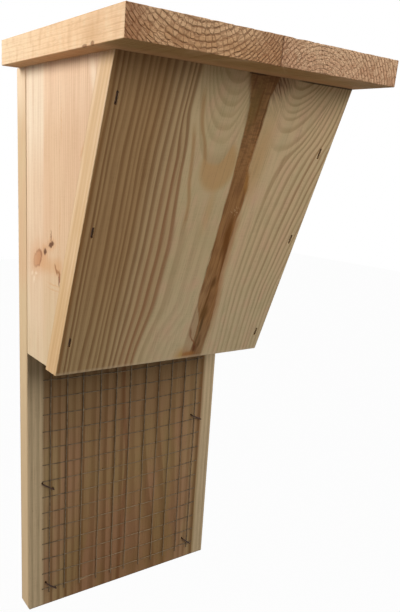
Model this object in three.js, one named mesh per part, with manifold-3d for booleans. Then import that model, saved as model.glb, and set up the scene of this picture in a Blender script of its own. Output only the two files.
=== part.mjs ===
// A wedge-shaped bat box that hangs on a wall.
// A tall back board carries two side panels, a front board that leans outwards and a roof of two
// boards. Wire mesh on the back board lets bats climb from the landing area up into the chamber.
// Everything is stapled together.
//
// Sizes are in millimetres. X runs to the right, Y runs into the wall and Z runs up.
// The origin is the middle of the back board's rear face, which lies on the wall.

import * as THREE from "three";
import { mergeVertices } from "three/addons/utils/BufferGeometryUtils.js";
import Module from "manifold-3d";

const wasm = await Module();
wasm.setup();

// Boards
const STOCK = 14;
const BOX_WIDTH = 161;
const BACK_HEIGHT = 378;

// Height of the side panels' lower ends above the back board's lower end
const CHAMBER_FLOOR = 200;
const FRONT_BELOW_SIDES = 2.4;

// The front board's lower outer edge stands this far from the wall, and the board leans out from it
const FRONT_FOOT_REACH = 59.7;
const FRONT_LEAN = THREE.MathUtils.degToRad(20);

// The roof falls a little towards the front
const ROOF_PITCH = THREE.MathUtils.degToRad(2.1);
const ROOF_WIDTH = 174.7;
const ROOF_REACH = 151;
const ROOF_TO_WALL = 4;
const ROOF_LEFT_OVERHANG = 11;

// Clearances between pieces
const GAP = 0.3;
const ROOF_OVER_FRONT_GAP = 0.8;
const SIDE_TOP_GAP = 0.9;

// Welded wire mesh
const MESH_PITCH = 12.7;
const MESH_COLUMNS = 11;
const MESH_ROWS = 28;
const MESH_LOWEST_WIRE = 14.3;
const WIRE = 0.8;
const WELD_DEPTH = 0.25;
const LANDING_STUB = 5.5;
const CHAMBER_STUB = 2.4;
const UPRIGHT_STUB = 3.5;

// Corners closer than this are one corner
const SAME_CORNER = 1e-4;

// Narrow staples that join the boards
const NARROW = { crown: 5.8, leg: 25, width: 0.9, thickness: 0.9, sunk: 0.8 };

// Wide staples that hold the mesh; their crowns lie over the wires
const WIDE = { crown: 10.6, leg: 9.5, width: 1, thickness: 0.6, sunk: 0 };

const HALF_WIDTH = BOX_WIDTH / 2;
const BACK_BOTTOM = -BACK_HEIGHT / 2;
const SIDE_BOTTOM = BACK_BOTTOM + CHAMBER_FLOOR;
const FRONT_BOTTOM = SIDE_BOTTOM - FRONT_BELOW_SIDES;
const SIDE_MIDDLE = HALF_WIDTH - STOCK / 2;

// Height of the roof's underside over a point at depth y
function roofUnderside(y) {
  return BACK_HEIGHT / 2 + y * Math.tan(ROOF_PITCH);
}

// Depth of the front board's outer face at height z
function frontFace(z) {
  return -FRONT_FOOT_REACH - (z - FRONT_BOTTOM) * Math.tan(FRONT_LEAN);
}

// A point on the plane that lies parallel to the front board's outer face, inset from it, where
// the plane meets the roof's underside less a gap
function underRoof(inset, gap) {
  const startDepth = frontFace(FRONT_BOTTOM) + inset / Math.cos(FRONT_LEAN);
  const lean = Math.tan(FRONT_LEAN);
  const pitch = Math.tan(ROOF_PITCH);
  const z = (BACK_HEIGHT / 2 - gap + pitch * (startDepth + lean * FRONT_BOTTOM)) / (1 + pitch * lean);
  return [startDepth - (z - FRONT_BOTTOM) * lean, z];
}

// A closed geometry as a solid that can be joined and cut
function toSolid(geometry) {
  const plain = geometry.clone();
  plain.deleteAttribute("normal");
  plain.deleteAttribute("uv");
  const merged = mergeVertices(plain, SAME_CORNER);
  return new wasm.Manifold(
    new wasm.Mesh({
      numProp: 3,
      vertProperties: merged.attributes.position.array,
      triVerts: new Uint32Array(merged.index.array),
    }),
  );
}

// A solid as a geometry with flat faces
function toGeometry(solid) {
  const mesh = solid.getMesh();
  const indexed = new THREE.BufferGeometry();
  indexed.setAttribute("position", new THREE.BufferAttribute(mesh.vertProperties, 3));
  indexed.setIndex(new THREE.BufferAttribute(mesh.triVerts, 1));
  const flat = indexed.toNonIndexed();
  flat.computeVertexNormals();
  return flat;
}

// A board whose side view is an outline of [depth, height] points, from x = left to x = right
function boardFromSideView(outline, left, right) {
  const shape = new THREE.Shape(outline.map(([y, z]) => new THREE.Vector2(y, z)));
  const geometry = new THREE.ExtrudeGeometry(shape, { depth: right - left, bevelEnabled: false });
  const sideViewToPart = new THREE.Matrix4().makeBasis(
    new THREE.Vector3(0, 1, 0),
    new THREE.Vector3(0, 0, 1),
    new THREE.Vector3(1, 0, 0),
  );
  return geometry.applyMatrix4(sideViewToPart).translate(left, 0, 0);
}

// A bent staple: the crown's outer face is at z = 0, the legs point down and end in chisel points
function stapleGeometry({ crown, leg, width, thickness }) {
  const half = crown / 2;
  const point = thickness;
  const outline = [
    [-half, 0],
    [-half, point - leg],
    [thickness - half, -leg],
    [thickness - half, -thickness],
    [half - thickness, -thickness],
    [half - thickness, -leg],
    [half, point - leg],
    [half, 0],
  ];
  const shape = new THREE.Shape(outline.map(([x, z]) => new THREE.Vector2(x, z)));
  const geometry = new THREE.ExtrudeGeometry(shape, { depth: width, bevelEnabled: false });
  return geometry.translate(0, 0, -width / 2).rotateX(Math.PI / 2);
}

// The room that a staple needs in the wood: a slot for the crown and a hole for each leg
function stapleRoom({ crown, leg, width, thickness, sunk }) {
  const mouth = sunk + GAP;
  const slot = new THREE.BoxGeometry(
    crown + 2 * GAP,
    width + 2 * GAP,
    mouth + thickness + GAP,
  ).translate(0, 0, (mouth - thickness - GAP) / 2);
  const legHole = (side) =>
    new THREE.BoxGeometry(thickness + 2 * GAP, width + 2 * GAP, leg + GAP).translate(
      side * (crown / 2 - thickness / 2),
      0,
      -(leg + GAP) / 2,
    );
  return toSolid(slot).add(toSolid(legHole(-1))).add(toSolid(legHole(1)));
}

const narrowStaple = stapleGeometry(NARROW);
const wideStaple = stapleGeometry(WIDE);
const narrowRoom = toGeometry(stapleRoom(NARROW));
const wideRoom = toGeometry(stapleRoom(WIDE));

const stapleSteel = () =>
  new THREE.MeshStandardMaterial({ color: 0x8d8c88, roughness: 0.42, metalness: 0.9 });

// A staple's place: a point on the wood's surface, the way its crown runs and the way out
function placeStaple(name, size, surfacePoint, alongCrown, outward) {
  const staple = new THREE.Mesh(size === NARROW ? narrowStaple : wideStaple, stapleSteel());
  staple.name = name;
  const x = new THREE.Vector3(...alongCrown).normalize();
  const z = new THREE.Vector3(...outward).normalize();
  const y = new THREE.Vector3().crossVectors(z, x);
  staple.quaternion.setFromRotationMatrix(new THREE.Matrix4().makeBasis(x, y, z));
  staple.position.set(...surfacePoint).addScaledVector(z, -size.sunk);
  staple.updateMatrixWorld(true);
  return staple;
}

// A board with the room for each staple that goes into it cut away
function boardWithHoles(geometry, staples) {
  let board = toSolid(geometry);
  for (const staple of staples) {
    const room = staple.geometry === narrowStaple ? narrowRoom : wideRoom;
    board = board.subtract(toSolid(room.clone().applyMatrix4(staple.matrixWorld)));
  }
  return toGeometry(board);
}

// Staples through the front board into the side panels' sloping edges, inset from the box's side
// and up along the slope from the board's lower edge
const frontOutward = [0, -Math.cos(FRONT_LEAN), -Math.sin(FRONT_LEAN)];
const upTheFront = [0, -Math.sin(FRONT_LEAN), Math.cos(FRONT_LEAN)];

function frontStaple(side, height, inset, up) {
  const x = side === "left" ? inset - HALF_WIDTH : HALF_WIDTH - inset;
  const point = [
    x,
    -FRONT_FOOT_REACH + up * upTheFront[1],
    FRONT_BOTTOM + up * upTheFront[2],
  ];
  return placeStaple(`front_staple_${side}_${height}`, NARROW, point, upTheFront, frontOutward);
}

const frontStaples = {
  left: [
    frontStaple("left", "top", 5.5, 166),
    frontStaple("left", "middle", 6.5, 95.5),
    frontStaple("left", "bottom", 5.5, 24),
  ],
  right: [
    frontStaple("right", "top", 8, 147.5),
    frontStaple("right", "middle", 5.5, 89.5),
    frontStaple("right", "bottom", 6, 15.5),
  ],
};

// Staples through the back board into the side panels' rear edges
const BACK_STAPLE_HEIGHTS = { bottom: 30, middle: 95, top: 160 };

function backStaples(side) {
  const x = side === "left" ? -SIDE_MIDDLE : SIDE_MIDDLE;
  return Object.entries(BACK_STAPLE_HEIGHTS).map(([height, z]) =>
    placeStaple(`back_staple_${side}_${height}`, NARROW, [x, 0, z], [0, 0, 1], [0, 1, 0]),
  );
}

const backStaplesLeft = backStaples("left");
const backStaplesRight = backStaples("right");

// Staples down through the roof boards into the edges under them
const roofOutward = [0, -Math.sin(ROOF_PITCH), Math.cos(ROOF_PITCH)];
const upTheRoof = [0, Math.cos(ROOF_PITCH), Math.sin(ROOF_PITCH)];
const ROOF_SIDE_STAPLES = { rear: -34, middle: -58, front: -82 };
const ROOF_CROSS_STAPLE_X = { left: -44, right: 40 };
const ROOF_BACK_STAPLE_Y = -STOCK / 2;
const ROOF_FRONT_STAPLE_Y = -114;

function roofStaple(name, x, y, alongCrown) {
  const top = [x, y + STOCK * roofOutward[1], roofUnderside(y) + STOCK * roofOutward[2]];
  return placeStaple(name, NARROW, top, alongCrown, roofOutward);
}

function roofSideStaples(side) {
  const x = side === "left" ? -SIDE_MIDDLE : SIDE_MIDDLE;
  return Object.entries(ROOF_SIDE_STAPLES).map(([place, y]) =>
    roofStaple(`roof_staple_${side}_${place}`, x, y, upTheRoof),
  );
}

function roofCrossStaple(side, edge, y) {
  return roofStaple(`roof_staple_${edge}_${side}`, ROOF_CROSS_STAPLE_X[side], y, [1, 0, 0]);
}

const roofStaples = {
  left: roofSideStaples("left"),
  right: roofSideStaples("right"),
  intoBack: ["left", "right"].map((side) => roofCrossStaple(side, "back", ROOF_BACK_STAPLE_Y)),
  intoFront: ["left", "right"].map((side) => roofCrossStaple(side, "front", ROOF_FRONT_STAPLE_Y)),
};

// The mesh's layers, from the wood outwards: cross wires, then upright wires welded on them
const meshBack = -STOCK - GAP;
const crossWireMiddle = meshBack - WIRE / 2;
const uprightWireMiddle = crossWireMiddle - WIRE + WELD_DEPTH;
const meshFront = uprightWireMiddle - WIRE / 2;
const firstColumn = (-(MESH_COLUMNS - 1) / 2) * MESH_PITCH;
const lowestRow = BACK_BOTTOM + MESH_LOWEST_WIRE;

const columnX = (column) => firstColumn + column * MESH_PITCH;
const rowZ = (row) => lowestRow + row * MESH_PITCH;

// Staples over the mesh, placed from a crossing of its wires, with the crown's slant in degrees
function meshStaple(name, column, row, shiftX, shiftZ, slant) {
  const turn = THREE.MathUtils.degToRad(slant);
  const crownFace = meshFront - GAP - WIDE.thickness;
  const point = [columnX(column) + shiftX, crownFace, rowZ(row) + shiftZ];
  return placeStaple(name, WIDE, point, [Math.cos(turn), 0, Math.sin(turn)], [0, -1, 0]);
}

const LAST_COLUMN = MESH_COLUMNS - 1;
const meshStaples = [
  meshStaple("mesh_staple_left_bottom", 0, 0, 0.3, 1.9, -41),
  meshStaple("mesh_staple_right_bottom", LAST_COLUMN, 0, -1.8, 1.5, -41),
  meshStaple("mesh_staple_left_middle", 0, 7, -2.2, -4.2, -35),
  meshStaple("mesh_staple_right_middle", LAST_COLUMN, 9, 0.4, 0.9, -28),
  meshStaple("mesh_staple_left_chamber", 0, 19, 2.2, 4.2, 35),
  meshStaple("mesh_staple_right_chamber", LAST_COLUMN, 19, -2.2, 4.2, -35),
  meshStaple("mesh_staple_left_top", 0, 26, 2.2, 4.2, 40),
  meshStaple("mesh_staple_right_top", LAST_COLUMN, 26, -2.2, 4.2, -40),
];

// The mesh: every wire is a straight bar, and the welds join them into one solid
function climbingMesh() {
  const uprightLow = rowZ(0) - UPRIGHT_STUB;
  const uprightHigh = rowZ(MESH_ROWS - 1) + UPRIGHT_STUB;
  const bars = [];
  for (let column = 0; column < MESH_COLUMNS; column += 1) {
    const bar = new THREE.BoxGeometry(WIRE, WIRE, uprightHigh - uprightLow);
    bars.push(bar.translate(columnX(column), uprightWireMiddle, (uprightHigh + uprightLow) / 2));
  }
  for (let row = 0; row < MESH_ROWS; row += 1) {
    const besideBox = rowZ(row) + WIRE > SIDE_BOTTOM - GAP;
    const stub = besideBox ? CHAMBER_STUB : LANDING_STUB;
    const bar = new THREE.BoxGeometry(2 * (stub - firstColumn), WIRE, WIRE);
    bars.push(bar.translate(0, crossWireMiddle, rowZ(row)));
  }
  return toGeometry(wasm.Manifold.union(bars.map(toSolid)));
}

// Back board, its top cut to the roof's slope
function backBoard() {
  const outline = [
    [-STOCK, BACK_BOTTOM],
    [0, BACK_BOTTOM],
    [0, roofUnderside(0) - GAP],
    [-STOCK, roofUnderside(-STOCK) - GAP],
  ];
  const staples = [...backStaplesLeft, ...backStaplesRight, ...roofStaples.intoBack, ...meshStaples];
  return boardWithHoles(boardFromSideView(outline, -HALF_WIDTH, HALF_WIDTH), staples);
}

// Side panel: its rear edge stands off the back board by a hair at the foot and more at the top
function sidePanel(side) {
  const rearFoot = -STOCK - GAP;
  const rearTop = -STOCK - SIDE_TOP_GAP;
  const frontEdge = underRoof(STOCK + GAP, GAP);
  const frontFoot = frontFace(SIDE_BOTTOM) + (STOCK + GAP) / Math.cos(FRONT_LEAN);
  const outline = [
    [rearFoot, SIDE_BOTTOM],
    [rearTop, roofUnderside(rearTop) - GAP],
    frontEdge,
    [frontFoot, SIDE_BOTTOM],
  ];
  const left = side === "left" ? -HALF_WIDTH : HALF_WIDTH - STOCK;
  const rear = side === "left" ? backStaplesLeft : backStaplesRight;
  const staples = [...rear, ...frontStaples[side], ...roofStaples[side]];
  return boardWithHoles(boardFromSideView(outline, left, left + STOCK), staples);
}

// Front board: level at the foot, its top cut to the roof's slope with a fine gap under the roof
function frontBoard() {
  const outline = [
    [frontFace(FRONT_BOTTOM), FRONT_BOTTOM],
    [frontFace(FRONT_BOTTOM) + STOCK / Math.cos(FRONT_LEAN), FRONT_BOTTOM],
    underRoof(STOCK, ROOF_OVER_FRONT_GAP),
    underRoof(0, ROOF_OVER_FRONT_GAP),
  ];
  const staples = [...frontStaples.left, ...frontStaples.right, ...roofStaples.intoFront];
  return boardWithHoles(boardFromSideView(outline, -HALF_WIDTH, HALF_WIDTH), staples);
}

// Roof board: cut square, so both its ends lean with the slope
function roofBoard(side) {
  const leftEdge = -HALF_WIDTH - ROOF_LEFT_OVERHANG;
  const joint = leftEdge + ROOF_WIDTH / 2;
  const underRear = [-ROOF_TO_WALL, roofUnderside(-ROOF_TO_WALL)];
  const underFront = [-ROOF_REACH, roofUnderside(-ROOF_REACH)];
  const raise = ([y, z]) => [y + STOCK * roofOutward[1], z + STOCK * roofOutward[2]];
  const outline = [underFront, underRear, raise(underRear), raise(underFront)];
  const isLeft = side === "left";
  const from = isLeft ? leftEdge : joint + GAP / 2;
  const to = isLeft ? joint - GAP / 2 : leftEdge + ROOF_WIDTH;
  const index = isLeft ? 0 : 1;
  const staples = [...roofStaples[side], roofStaples.intoBack[index], roofStaples.intoFront[index]];
  return boardWithHoles(boardFromSideView(outline, from, to), staples);
}

function named(name, geometry, color, roughness, metalness = 0) {
  const material = new THREE.MeshStandardMaterial({ color, roughness, metalness });
  const mesh = new THREE.Mesh(geometry, material);
  mesh.name = name;
  return mesh;
}

const batBox = new THREE.Group();
batBox.name = "bat_box";

batBox.add(named("back_board", backBoard(), 0xd9b98c, 0.78));
batBox.add(named("side_panel_left", sidePanel("left"), 0xe6c9a4, 0.76));
batBox.add(named("side_panel_right", sidePanel("right"), 0xe0c19a, 0.76));
batBox.add(named("front_board", frontBoard(), 0xd3b083, 0.74));
batBox.add(named("roof_board_left", roofBoard("left"), 0xe8c391, 0.8));
batBox.add(named("roof_board_right", roofBoard("right"), 0xdcb283, 0.8));
batBox.add(named("climbing_mesh", climbingMesh(), 0x7d7c78, 0.45, 0.85));

batBox.add(...frontStaples.left, ...frontStaples.right);
batBox.add(...backStaplesLeft, ...backStaplesRight);
batBox.add(...roofStaples.left, ...roofStaples.right);
batBox.add(...roofStaples.intoBack, ...roofStaples.intoFront);
batBox.add(...meshStaples);

export default batBox;
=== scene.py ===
# %% [markdown]
# # A wooden bat box
# The box hangs on a wall. Bats land on the lower part of the back board, climb the wire net and
# crawl up into the wedge-shaped chamber behind the leaning front board.
# The solid model already has every board, wire and staple in its place. This lesson dresses those
# solids: it eases the boards' edges, bends the wires, and gives each board its own wood.
# The first cell loads the solids.

# %% Load the solid model
import math
from functools import partialmethod

import bmesh
import bpy
from mathutils import Matrix, Vector, noise


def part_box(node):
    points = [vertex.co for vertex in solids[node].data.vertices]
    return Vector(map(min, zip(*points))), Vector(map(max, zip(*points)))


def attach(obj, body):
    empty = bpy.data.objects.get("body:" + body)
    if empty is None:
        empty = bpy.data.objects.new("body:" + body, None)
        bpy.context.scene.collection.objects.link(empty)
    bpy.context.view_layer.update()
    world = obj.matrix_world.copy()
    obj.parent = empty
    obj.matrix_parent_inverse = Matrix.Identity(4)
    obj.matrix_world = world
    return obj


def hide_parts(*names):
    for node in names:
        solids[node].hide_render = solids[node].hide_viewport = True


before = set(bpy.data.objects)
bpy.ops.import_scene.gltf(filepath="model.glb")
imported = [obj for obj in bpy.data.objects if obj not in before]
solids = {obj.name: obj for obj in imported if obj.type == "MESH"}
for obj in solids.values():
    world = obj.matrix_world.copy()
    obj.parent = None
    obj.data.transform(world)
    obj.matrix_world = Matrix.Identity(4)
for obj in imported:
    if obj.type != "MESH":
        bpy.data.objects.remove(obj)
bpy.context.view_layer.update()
MM = 0.001


def in_mm(corners):
    return [[round(c / MM, 1) for c in corner] for corner in corners]


# %% [markdown]
# ## The camera
# The photograph looks at the box from the left and a little from above. The camera's place and
# direction were measured from the box's own corners and the net's even spacing, so they are written
# down as numbers here. A camera looks along its own -Z, so its matrix has the picture's right, up
# and backward directions as columns. A small shift stands for the way that the picture was cropped.

# %% Stand the camera where the photograph was taken
PICTURE = (400, 612)
SIGHT_CENTRE = (156.2, 340.1)
FOCAL_PIXELS = 624.0


def stand(name, data):
    """Puts a camera, a lamp or a mesh in the scene as a new object."""
    thing = bpy.data.objects.new(name, data)
    bpy.context.scene.collection.objects.link(thing)
    return thing


view = bpy.data.cameras.new("photo_camera")
view.sensor_width = 36
view.lens = FOCAL_PIXELS / PICTURE[1] * view.sensor_width
view.shift_x = (PICTURE[0] / 2 - SIGHT_CENTRE[0]) / PICTURE[1]
view.shift_y = (SIGHT_CENTRE[1] - PICTURE[1] / 2) / PICTURE[1]
view.clip_start = 0.01
camera = stand("photo_camera", view)
picture_right = Vector((0.839682, -0.541089, 0.046435))
picture_up = Vector((0.100274, 0.238505, 0.965951))
backward = Vector((-0.53374, -0.806436, 0.254525))
camera.matrix_world = Matrix((picture_right, picture_up, backward)).transposed().to_4x4()
camera.location = (-0.22945, -0.3941, 0.12958)
bpy.context.scene.camera = camera
print("lens", round(view.lens, 2), "mm, shift", round(view.shift_x, 4), round(view.shift_y, 4))

# %% [markdown]
# ## Nodes written as sums
# A material is a tree of nodes. Long trees are hard to read as code, so this cell makes a small
# helper: a Field is a number that changes over the surface, and + - * / on it add Math nodes.
# `plug` joins a Field, a socket or a plain value to an input, and `put` adds any other node.

# %% A short way to write nodes
def plug(tree, value, socket):
    value = getattr(value, "socket", value)
    if isinstance(value, bpy.types.NodeSocket):
        tree.links.new(value, socket)
    else:
        socket.default_value = value


def put(tree, kind, feeds=None, out=0, **settings):
    """Adds a node, sets it up, feeds its inputs and hands back one output as a Field."""
    made = tree.nodes.new("ShaderNode" + kind)
    for name, value in settings.items():
        setattr(made, name, value)
    for name, value in (feeds or {}).items():
        plug(tree, value, made.inputs[name])
    return Field(tree, made.outputs[out])


class Field:
    """A number that changes over a surface."""

    def __init__(self, tree, socket):
        self.tree, self.socket = tree, socket

    def math(self, operation, *others):
        return put(self.tree, "Math", dict(enumerate((self, *others))), operation=operation)

    __add__ = __radd__ = partialmethod(math, "ADD")
    __mul__ = __rmul__ = partialmethod(math, "MULTIPLY")
    __sub__, __truediv__ = partialmethod(math, "SUBTRACT"), partialmethod(math, "DIVIDE")

    def __rsub__(self, other):
        return put(self.tree, "Math", {0: other, 1: self}, operation="SUBTRACT")

    def rise(self, start, end, low=0.0, high=1.0):
        """Goes softly from low to high as the field goes from start to end."""
        feeds = {"Value": self, "From Min": start, "From Max": end, "To Min": low, "To Max": high}
        return put(self.tree, "MapRange", feeds, interpolation_type="SMOOTHSTEP")

    def near(self, line, far, close):
        """1 within close of a line, then softly down to 0 at far from it."""
        return (self - line).math("ABSOLUTE").rise(far, close)

    def follow(self, points, span=200.0, reach=40.0):
        """Reads a drawn curve: points are (field, value) pairs within 0..span and 0..reach."""
        made = self.tree.nodes.new("ShaderNodeFloatCurve")
        drawn = made.mapping.curves[0]
        while len(drawn.points) < len(points):
            drawn.points.new(0.5, 0.5)
        for handle, (at, value) in zip(drawn.points, points):
            handle.location = (at / span, value / reach)
            handle.handle_type = "AUTO_CLAMPED"
        made.mapping.update()
        plug(self.tree, self / span, made.inputs["Value"])
        return Field(self.tree, made.outputs[0]) * reach


def new_finish(name):
    material = bpy.data.materials.new(name)
    material.use_nodes = True
    return material, material.node_tree, material.node_tree.nodes["Principled BSDF"]


print("helpers ready for sums, soft steps and drawn curves")

# %% [markdown]
# Colours are written as on a paint chart, red, green and blue from 0 to 255, and `tint` makes them
# linear for a shader. `coat` lays thin coats over a colour, as a painter does: each is how much of
# it shows, which is a Field, and its shade.

# %% A short way to lay colours over each other
def tint(red, green, blue):
    parts = [c / 255 for c in (red, green, blue)]
    return (*(c / 12.92 if c <= 0.04045 else ((c + 0.055) / 1.055) ** 2.4 for c in parts), 1.0)


def blend(amount, first, second, way="MIX"):
    """Mixes two colours, which are Fields or a paint chart's three numbers."""
    first, second = (tint(*c) if isinstance(c, tuple) else c for c in (first, second))
    feeds = {0: amount, 6: first, 7: second}
    return put(amount.tree, "Mix", feeds, out=2, data_type="RGBA", blend_type=way, clamp_factor=True)


def coat(colour, *coats):
    for amount, shade in coats:
        colour = blend(amount, colour, shade)
    return colour


print("mid grey is", [round(c, 3) for c in tint(128, 128, 128)[:3]])

# %% [markdown]
# ## Light and floor
# The boards' left faces are bright and their front faces a third as bright. So one large soft lamp
# stands on the left, a little behind the box, with two weaker ones in front, and a small one low on
# the left lights the net from the side. The floor lies well below, because the box hangs on a wall.
# Light Path shows the background to the camera as plain white without lighting the box. The floor
# stays a little less than white, to keep the box's shadow.

# %% Lamps, world and floor
def lamp(name, place, width, watts):
    light = bpy.data.lights.new(name, "AREA")
    light.shape, light.size, light.energy = "DISK", width, watts
    held = stand(name, light)
    held.location = place
    aim = Vector((0, -0.07, 0.03)) - held.location
    held.rotation_euler = aim.to_track_quat("-Z", "Y").to_euler()


lamp("left_lamp", (-0.82, 0.24, 0.46), 0.45, 7.9)
lamp("low_left_lamp", (-0.8, -0.16, -0.2), 0.25, 0.55)
lamp("high_front_lamp", (0.7, -0.6, 0.9), 0.8, 4.4)
lamp("low_front_lamp", (0.1, -0.9, 0.42), 0.5, 3.1)


def seen_directly(tree):
    """1 for the camera, for reflections and for light through glass, otherwise 0."""
    path = tree.nodes.new("ShaderNodeLightPath")
    seen = Field(tree, path.outputs["Is Camera Ray"]).math("MAXIMUM", path.outputs["Is Glossy Ray"])
    return seen.math("MAXIMUM", path.outputs["Is Transmission Ray"])


ROOM_LIGHT, FLOOR_WHITENESS = 0.11, 0.975
WHITE = (1, 1, 1, 1)
world = bpy.data.worlds.new("pale_room")
bpy.context.scene.world = world
world.use_nodes = True
air = world.node_tree
dim = air.nodes["Background"]
dim.inputs["Color"].default_value = WHITE
dim.inputs["Strength"].default_value = ROOM_LIGHT
white = put(air, "Background", {"Color": WHITE, "Strength": 1.0})
sky = put(air, "MixShader", {0: seen_directly(air), 1: dim.outputs[0], 2: white})
plug(air, sky, air.nodes["World Output"].inputs[0])

floor_finish, tree, shader = new_finish("pale_floor")
shader.inputs["Base Color"].default_value = tint(172, 168, 162)
shader.inputs["Roughness"].default_value = 0.9
glow = put(tree, "Emission", {"Strength": 1.0})
share = seen_directly(tree) * FLOOR_WHITENESS
shown = put(tree, "MixShader", {0: share, 1: shader.outputs[0], 2: glow})
plug(tree, shown, tree.nodes["Material Output"].inputs[0])

FLOOR_BELOW, FLOOR_REACH = 0.8, 6.0
sheet = bmesh.new()
below_box = Matrix.Translation((0, 0, -FLOOR_BELOW))
bmesh.ops.create_grid(sheet, x_segments=1, y_segments=1, size=FLOOR_REACH, matrix=below_box)
floor_mesh = bpy.data.meshes.new("floor")
sheet.to_mesh(floor_mesh)
sheet.free()
floor_mesh.materials.append(floor_finish)
floor = stand("floor", floor_mesh)
bpy.context.scene.view_settings.view_transform = "Standard"
print("four lamps, and a floor", FLOOR_BELOW, "m below the middle of the box")

# %% [markdown]
# ## Shared wood effects
# An effect that several boards need is a node group, built once, with named inputs and outputs.
# *Growth rings* turns a ring count into dark late wood, with a border at each whole number. It fades
# in slowly and ends sharply, as a real ring does, and each ring gets its own tone.

# %% A group for growth rings
def new_group(name, inputs, outputs):
    """A node group with float inputs, or vector ones where the default is a tuple."""
    group = bpy.data.node_groups.new(name, "ShaderNodeTree")
    for label, default in inputs.items():
        kind = "NodeSocketVector" if isinstance(default, tuple) else "NodeSocketFloat"
        socket = group.interface.new_socket(label, in_out="INPUT", socket_type=kind)
        socket.default_value = default
    for label in outputs:
        group.interface.new_socket(label, in_out="OUTPUT", socket_type="NodeSocketFloat")
    entry = group.nodes.new("NodeGroupInput")
    leave = group.nodes.new("NodeGroupOutput")
    fields = {label: Field(group, entry.outputs[label]) for label in inputs}
    return group, fields, leave


def finish_group(group, leave, results):
    for label, field in results.items():
        plug(group, field, leave.inputs[label])
    print("group", group.name, "has", len(group.nodes), "nodes")


def use_group(group, *values):
    """Places a group, feeds its inputs in order and hands back its outputs by name."""
    tree = values[0].tree
    made = tree.nodes.new("ShaderNodeGroup")
    made.node_tree = group
    for value, socket in zip(values, made.inputs):
        plug(tree, value, socket)
    return {socket.name: Field(tree, socket) for socket in made.outputs}


RINGS, given, leave = new_group(
    "growth rings", {"Rings": 0.0, "Late share": 0.4, "Seed": 0.0}, ["Late wood", "Ring tone"])
part = given["Rings"].math("FRACT")
width = given["Late share"]
before = part.rise(1 - width, 1 - width * 0.2)
after = part.rise(0.0, width * 0.25)
number = (given["Rings"] + 0.5).math("FLOOR")
tone = put(RINGS, "TexWhiteNoise", {"Vector": number, "W": given["Seed"]}, noise_dimensions="4D")
finish_group(RINGS, leave, {"Late wood": before + (1 - after), "Ring tone": tone})

# %% [markdown]
# *Fibres* gives what runs along every softwood board: thin threads, short dark dashes where resin
# ducts are cut open, and wide soft clouds of colour. All are noise stretched along the grain, the
# third axis of the place that is given. The planer's faint marks are stretched across it.

# %% A group for fibres
def blobs(place, size, seed, detail=2.0, roughness=0.5):
    """Noise from 0 to 1, whose blobs are about size millimetres across, deep and long."""
    scaled = put(place.tree, "VectorMath", {0: place, 1: size}, operation="DIVIDE")
    feeds = {"Vector": scaled, "W": seed, "Scale": 1.0, "Detail": detail, "Roughness": roughness}
    return put(place.tree, "TexNoise", feeds, noise_dimensions="4D")


def swing(*given):
    """The same noise, made to swing about 0."""
    return blobs(*given) - 0.5


FIBRES, given, leave = new_group(
    "fibres", {"Place": (0.0, 0.0, 0.0), "Seed": 0.0}, ["Threads", "Ducts", "Clouds", "Planing"])
grain_place, grain_seed = given["Place"], given["Seed"]
finish_group(FIBRES, leave, {
    "Threads": blobs(grain_place, (0.7, 0.7, 30), grain_seed, 3.0, 0.6),
    "Ducts": blobs(grain_place, (0.8, 0.8, 5), grain_seed + 7.0).rise(0.66, 0.74),
    "Clouds": blobs(grain_place, (18, 18, 70), grain_seed + 3.0),
    "Planing": blobs(grain_place, (9, 9, 0.8), grain_seed + 5.0),
})


def fine_marks(fibre, threads, planing):
    """Threads and planing marks together, each with its own strength."""
    return (fibre["Threads"] - 0.5) * threads + (fibre["Planing"] - 0.5) * planing


# %% [markdown]
# *Oval mark* is a soft-edged oval at a given place, for knots, resin patches and stains. It also
# gives how far each point is from the oval's middle, which the thin rim round a knot needs.

# %% A group for oval marks
OVAL, given, leave = new_group(
    "oval mark",
    {"Across": 0.0, "Up": 0.0, "Middle across": 0.0, "Middle up": 0.0, "Half width": 1.0,
     "Half height": 1.0, "Slant": 0.0, "Soft edge": 0.3},
    ["Mark", "Distance"])
sideways, upward = given["Across"] - given["Middle across"], given["Up"] - given["Middle up"]
cosine, sine = given["Slant"].math("COSINE"), given["Slant"].math("SINE")
along = (sideways * cosine + upward * sine) / given["Half width"]
over = (upward * cosine - sideways * sine) / given["Half height"]
distance = (along * along + over * over).math("SQRT")
mark = distance.rise(1 + given["Soft edge"], 1 - given["Soft edge"])
finish_group(OVAL, leave, {"Mark": mark, "Distance": distance})


def oval(across, up, middle, half, slant=0.0, soft=0.3, result="Mark"):
    return use_group(OVAL, across, up, *middle, *half, math.radians(slant), soft)[result]


# %% [markdown]
# *Sawn end* is end grain as a saw leaves it. Fine checks cut the wood into small cells, each a
# little lighter or darker than the next. It works on a ring count and a count of steps round the
# tree's middle.

# %% A group for sawn end grain
SAWN, given, leave = new_group(
    "sawn end", {"Rings": 0.0, "Steps round": 0.0, "Seed": 0.0}, ["Checks", "Cell tone"])
spot = put(SAWN, "CombineXYZ", {"X": given["Rings"], "Y": given["Steps round"], "Z": given["Seed"]})
cells = {"Vector": spot, "Scale": 1.0, "Randomness": 0.55}
edge = put(SAWN, "TexVoronoi", cells, feature="DISTANCE_TO_EDGE")
grey = put(SAWN, "SeparateColor", {0: put(SAWN, "TexVoronoi", cells, out="Color")})
finish_group(SAWN, leave, {"Checks": edge.rise(0.16, 0.02), "Cell tone": grey})

# %% [markdown]
# ## Where a point lies on a board
# Wood is the same right through, so each material works in the board's own directions: across the
# grain, into the board, and along the grain. A Mapping node turns and shifts the object's
# coordinates so that they start at one corner of the board, in millimetres.

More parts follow.
